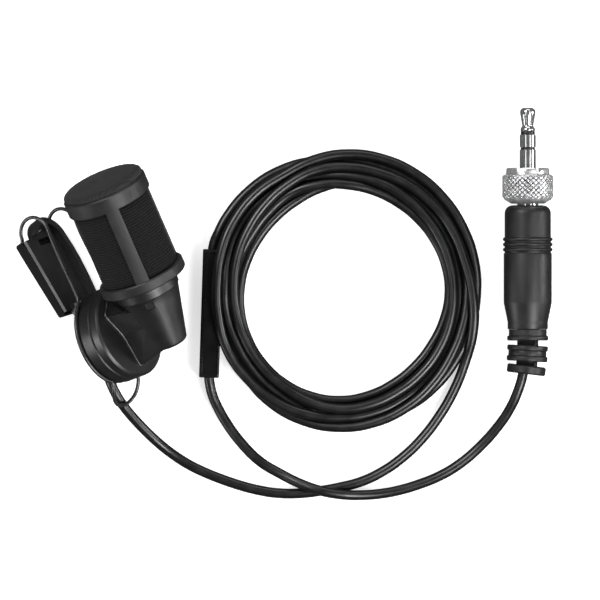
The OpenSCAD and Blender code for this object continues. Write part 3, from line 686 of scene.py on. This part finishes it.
def cable_sleeve():
    """A square bar with round edges, a shallow panel along the top and rounded ends."""
    where = (
        Matrix.Translation(mm(*SLEEVE_CENTRE, SLEEVE_R)) @ Matrix.Rotation(SLEEVE_TURN, 4, "Z")
        @ Matrix.Rotation(-pi / 2, 4, "X")
    )
    end = -SLEEVE_LENGTH / 2
    # place along the bar, size of the outline, and depth of the panel
    stations = [
        (end, 0.6, 0), (end, 0.88, 0), (end + 0.08, 0.96, 0), (end + 0.3, 1, 0), (end + 0.8, 1, 0),
        (end + 0.95, 1, PANEL_DEPTH),
    ]
    rings = stations + [(-z, k, d) for z, k, d in stations[::-1]]
    corners = rounded_square(SLEEVE_HALF, 0.35, CORNER_STEPS)
    last = -(CORNER_STEPS + 1)
    panel = [(-1.6, 0), (-1.5, 1), (1.5, 1), (1.6, 0)]  # place across the top, and whether it is sunk
    outline = [(x, y, 0) for x, y in corners[:last]] + [(x, -SLEEVE_HALF, sunk) for x, sunk in panel]
    outline += [(x, y, 0) for x, y in corners[last:]]
    points = [where @ mm(x * k, y * k + sunk * d, z) for z, k, d in rings for x, y, sunk in outline]
    n = len(outline)
    faces = [(i * n + k, i * n + (k + 1) % n, (i + 1) * n + (k + 1) % n, (i + 1) * n + k)
             for i in range(len(rings) - 1) for k in range(n)]
    faces += [tuple(range(n))[::-1], tuple(range((len(rings) - 1) * n, len(rings) * n))]
    return mesh_piece(
        "cable_sleeve_bar", points, faces, "root", SLEEVE, ["cable_sleeve"]
    )


sharpen(cable_sleeve(), 35)

# --- plug body

PLUG_COLUMNS = 128
PLUG_RIBS, PLUG_RIB_PITCH, PLUG_RIB_R = 3, 1.12, 0.43
NECK_BORE = 2.35  # the radius of the holes round the jack's neck


def arc(cx, cy, r, start, end, steps):
    """Points on a circle's arc, between angles in degrees."""
    angles = [radians(start + (end - start) * i / steps) for i in range(steps + 1)]
    return [(cx + r * cos(a), cy + r * sin(a)) for a in angles]


def plug_body():
    """The moulded grip: a rounded shoulder, three round ribs, a straight barrel and a taper."""
    shoulder = [(NECK_BORE, -1.2), (NECK_BORE, 0)] + arc(3.3, -1.7, 1.7, 90, 0, 10)
    shoulder += [(5.0, -6.4), (5.0, -6.72)]
    ribs = [
        point for i in range(PLUG_RIBS)
        for point in arc(4.95, -7.35 - PLUG_RIB_PITCH * i, PLUG_RIB_R, 80, -80, 8)
    ]
    barrel = [(4.98, -10.25), (5.17, -10.4), (5.2, -10.6), (5.2, -20.9), (5.17, -21.2)]
    taper = [(4.42, -24.9), (4.36, -25.2), (4.36, -26.65), (4.26, -26.8)]
    inside = [(2.4, -26.8), (2.4, -24.5), (4, -22), (4, -1.2)]
    points, faces = lathed(shoulder + ribs + barrel + taper + inside, PLUG, PLUG_COLUMNS)
    return mesh_piece("plug_grip", points, faces, "root", RUBBER, ["plug_body"])


sharpen(plug_body(), 50)

# --- knurled nut

NUT_LO, NUT_FLOOR, NUT_HI = 0.35, 2.05, 8.1
NUT_R = 5.5
COLLAR_R, COLLAR_BORE = 4.7, 3.9
NOTCHES, NOTCH_HALF, NOTCH_LO = 6, 0.6, 7.2
KNURL_LO, KNURL_HI = 1.7, 6.4
KNURLS, KNURL_ROWS, KNURL_DEPTH = 28, 4.5, 0.38
KNURL_STEPS = 56  # along the knurl
STEPS_PER_KNURL = 16  # round it


def locking_nut():
    """The nut: a diamond knurl between two chamfers, and a notched collar towards the jack."""
    foot = [(NECK_BORE, NUT_LO), (3.6, NUT_LO), (NUT_R - 0.42, 1.25), (NUT_R - 0.3, KNURL_LO - 0.15)]
    rise = (KNURL_HI - KNURL_LO) / KNURL_STEPS
    knurl = [(NUT_R, KNURL_LO + rise * i) for i in range(KNURL_STEPS + 1)]
    collar = [
        (NUT_R - 0.4, 6.55), (COLLAR_R + 0.02, 6.7), (COLLAR_R, 6.8), (COLLAR_R, NOTCH_LO),
        (COLLAR_R, NOTCH_LO + 0.05), (COLLAR_R, 7.8), (COLLAR_R - 0.25, NUT_HI),
    ]
    inside = [
        (COLLAR_BORE, NUT_HI), (COLLAR_BORE, NOTCH_LO + 0.05), (COLLAR_BORE, NOTCH_LO),
        (COLLAR_BORE, NUT_FLOOR), (NECK_BORE, NUT_FLOOR),
    ]

    def cut(r, z, a):
        if r >= COLLAR_BORE and z > NOTCH_LO + 0.02:
            across = abs((a / (2 * pi) * NOTCHES + 0.5) % 1 - 0.5) * 2 * pi / NOTCHES * COLLAR_R
            return r, NOTCH_LO + 0.01 if across < NOTCH_HALF else z
        if r < NUT_R - 0.01:
            return r, z
        u = KNURLS * a / (2 * pi)
        v = KNURL_ROWS * (z - KNURL_LO) / (KNURL_HI - KNURL_LO)
        edge = min(1.0, (z - KNURL_LO) / 0.2, (KNURL_HI - z) / 0.2)
        # 0.5 in the middle of a groove, for the grooves that run each way
        one, two = abs((u + v) % 1 - 0.5), abs((u - v) % 1 - 0.5)
        height = min(1.0, (0.5 - max(one, two)) / 0.2)
        return r - 0.1 * (1 - edge) - KNURL_DEPTH * (1 - height), z

    outline = foot + knurl + collar + inside
    points, faces = lathed(outline, PLUG, KNURLS * STEPS_PER_KNURL, cut)
    return mesh_piece("knurled_nut", points, faces, "nut", NUT_METAL, ["locking_nut"])


sharpen(locking_nut(), 40)

# --- fillet bead along the foot of the elbow's web

DISC_FACE = 5.43
BEAD_R = 0.45
FOOT = [(-3, -7.7), (3, -7.7), (3.15, 0), (5, 5.7), (2, 7.8), (-2, 7.8), (-5, 5.7), (-3.15, 0)]


def web_bead():
    """A thin round fillet where the web meets the disc, with straight sides between its corners."""
    points = []
    for (x0, y0), (x1, y1) in zip(FOOT, FOOT[1:] + FOOT[:1]):
        for t in (0.04, 0.5, 0.96):
            points.append(HEAD @ mm(x0 + (x1 - x0) * t, y0 + (y1 - y0) * t, DISC_FACE - 0.05))
    curve_piece(
        "web_fillet", points, BEAD_R * MM, "head", SHELL, cyclic=True, rounds=3
    )


web_bead()

# --- the web's cheeks, which blend it into the barrel

# place along the microphone's axis, and the barrel's radius there
BARREL = [(-6.4, 2.9), (-5.4, 3.88), (0, 5.15), (4.6, 6.3)]
CHEEK_INSIDE = 2.8  # the cheeks' inner faces are this far from the middle, inside the CAD web


def add_hull(bm, points):
    """Adds the convex hull of these points to bm."""
    result = bmesh.ops.convex_hull(bm, input=[bm.verts.new(p) for p in points])
    spare = set(result["geom_interior"] + result["geom_unused"])
    spare = [part for part in spare if isinstance(part, bmesh.types.BMVert)]
    bmesh.ops.delete(bm, geom=spare, context="VERTS")


def web_cheeks():
    """Flat sides from the web's foot up to where they just touch the barrel, two on each side."""
    bm = bmesh.new()
    for side in (1, -1):
        for feet, stations in ((FOOT[1:3], BARREL[:3]), (FOOT[2:4], BARREL[2:])):
            points = [
                HEAD @ mm(side * across, y, DISC_FACE - 0.05)
                for x, y in feet for across in (x, CHEEK_INSIDE)
            ]
            for z, r in stations:
                for a in range(0, 61, 6):
                    x, y = r * cos(radians(a)), r * sin(radians(a))
                    points.append(MIC @ mm(side * max(x, CHEEK_INSIDE), y, z))
            add_hull(bm, points)
    mesh = bpy.data.meshes.new("web_cheeks")
    bmesh.ops.recalc_face_normals(bm, faces=bm.faces)
    bm.to_mesh(mesh)
    bm.free()
    mesh.shade_smooth()
    return add_piece("web_cheeks", mesh, "head", SHELL)


sharpen(web_cheeks(), 20)

# ---------- floor and light ----------

FLOOR_HALF = 3.0
FLOOR_GLOW = 0.6  # lights the floor from within, so that shadows nearly vanish
LIGHT_DISTANCE = 0.8
WORLD_LIGHT = 0.12


def floor():
    """A plain white sheet of paper."""
    data = bpy.data.meshes.new("floor")
    corners = [(x * FLOOR_HALF, y * FLOOR_HALF, 0) for x, y in ((-1, -1), (1, -1), (1, 1), (-1, 1))]
    data.from_pydata(corners, [], [(0, 1, 2, 3)])
    plane = bpy.data.objects.new("floor", data)
    bpy.context.scene.collection.objects.link(plane)
    s = Shader("floor", (0.9, 0.9, 0.9), 0.8)
    paper = s.noise(3.0, 2)
    s.link(s.mixed(s.spread(paper, 0, 1), (0.89, 0.89, 0.89), (0.91, 0.91, 0.91)), "Base Color")
    s.bsdf.inputs["Emission Color"].default_value = (1, 1, 1, 1)
    s.bsdf.inputs["Emission Strength"].default_value = FLOOR_GLOW
    data.materials.append(s.material)
    plane.visible_glossy = False  # keeps the pale floor out of the dark plastic's reflections


def softbox(name, towards, size, watts):
    """An area light that looks at the middle of the view from that direction."""
    data = bpy.data.lights.new(name, "AREA")
    data.shape = "RECTANGLE"
    data.size, data.size_y = size
    data.energy = watts
    lamp = bpy.data.objects.new(name, data)
    direction = Vector(towards).normalized()
    lamp.location = Vector((*VIEW_CENTRE, 0)) + direction * LIGHT_DISTANCE
    lamp.rotation_mode = "QUATERNION"
    lamp.rotation_quaternion = direction.to_track_quat("Z", "Y")
    bpy.context.scene.collection.objects.link(lamp)


floor()
softbox("key_light", (0.56, -0.43, 0.79), (0.34, 0.34), 5.0)
softbox("top_left_light", (-0.5, 0.5, 0.8), (0.3, 0.3), 3.3)
softbox("left_light", (-0.9, -0.35, 0.28), (0.3, 0.25), 2.0)
softbox("right_light", (0.97, 0.05, 0.22), (0.3, 0.2), 2.0)
softbox("back_light", (0.15, 1, 0.45), (0.6, 0.2), 1.2)
softbox("right_strip", (0.62, 0.1, 0.8), (0.6, 0.12), 0.7)
softbox("left_strip", (-0.42, 0.05, 0.9), (0.5, 0.08), 0.5)

world = bpy.data.worlds.new("studio")
world.use_nodes = True
world.node_tree.nodes["Background"].inputs["Color"].default_value = (1, 1, 1, 1)
world.node_tree.nodes["Background"].inputs["Strength"].default_value = WORLD_LIGHT
bpy.context.scene.world = world
bpy.context.scene.view_settings.view_transform = "Standard"
